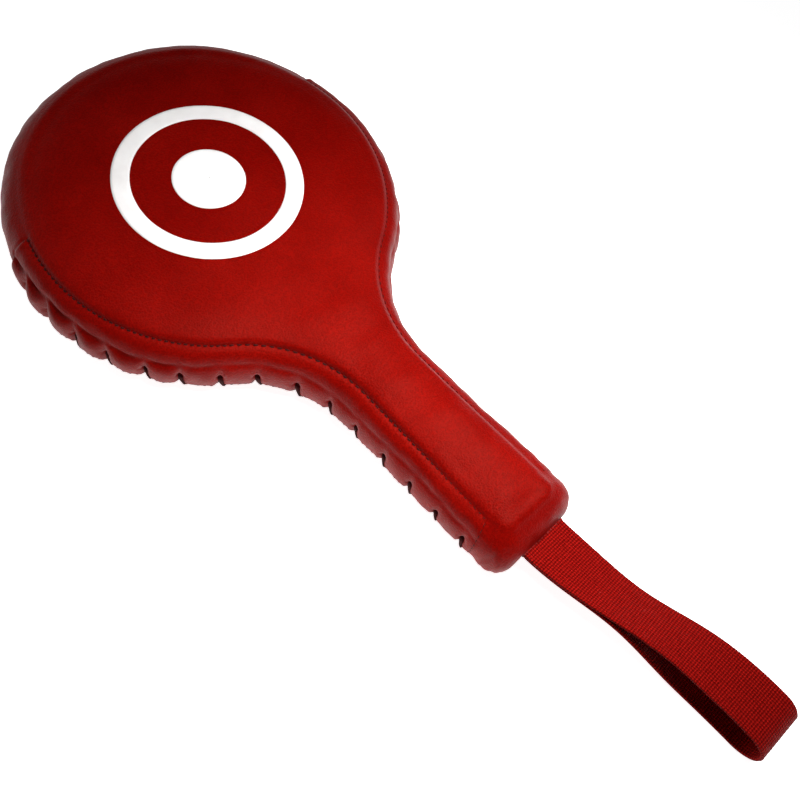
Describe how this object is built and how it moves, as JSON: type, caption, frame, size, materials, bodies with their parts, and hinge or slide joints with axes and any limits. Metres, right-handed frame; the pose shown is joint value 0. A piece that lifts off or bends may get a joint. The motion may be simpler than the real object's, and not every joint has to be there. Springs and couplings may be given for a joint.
{
  "type": "boxing focus paddle",
  "caption": "Hand-held padded striking paddle: round target head, flat padded handle, laced leather cover and webbing wrist loop.",
  "frame": {"origin": "middle of the bounding box in plan, on the surface that the paddle's back lies on", "axes": "+X from the target head along the handle to the wrist loop, +Z out of the striking face"},
  "size_m": [0.523, 0.2254, 0.0446],
  "materials": {
    "cover_leather": "satin pebbled synthetic leather, deep red",
    "lace": "flat woven lace, dark maroon",
    "thread": "twisted sewing thread, dark red",
    "webbing": "ribbed polyester webbing, red",
    "print": "screen-printed white film",
    "soft_foam": "open soft foam",
    "dense_foam": "closed-cell foam",
    "core_board": "thin stiffening board"
  },
  "bodies": {
    "paddle": {"front_face_panel": "cover_leather", "back_panel": "cover_leather", "side_band_left": "cover_leather", "side_band_right": "cover_leather", "edge_lace_left": "lace", "edge_lace_right": "lace", "face_seam_thread_left": "thread", "face_seam_thread_right": "thread", "hem_thread_left": "thread", "hem_thread_right": "thread", "cross_seam_thread_left": "thread", "cross_seam_thread_right": "thread", "strap_box_stitch": "thread", "front_soft_foam": "soft_foam", "back_soft_foam": "soft_foam", "front_dense_foam": "dense_foam", "back_dense_foam": "dense_foam", "core_board": "core_board", "wrist_strap_tail": "webbing", "print_ring": "print", "print_dot": "print"},
    "strap": {"wrist_strap_loop": "webbing"}
  },
  "joints": [
    {"name": "strap_swing", "type": "hinge", "parent": "paddle", "child": "strap", "pos_m": [0.1135, 0.006, 0.018], "axis": [0, 1, 0], "range_deg": [-85, 85]}
  ]
}
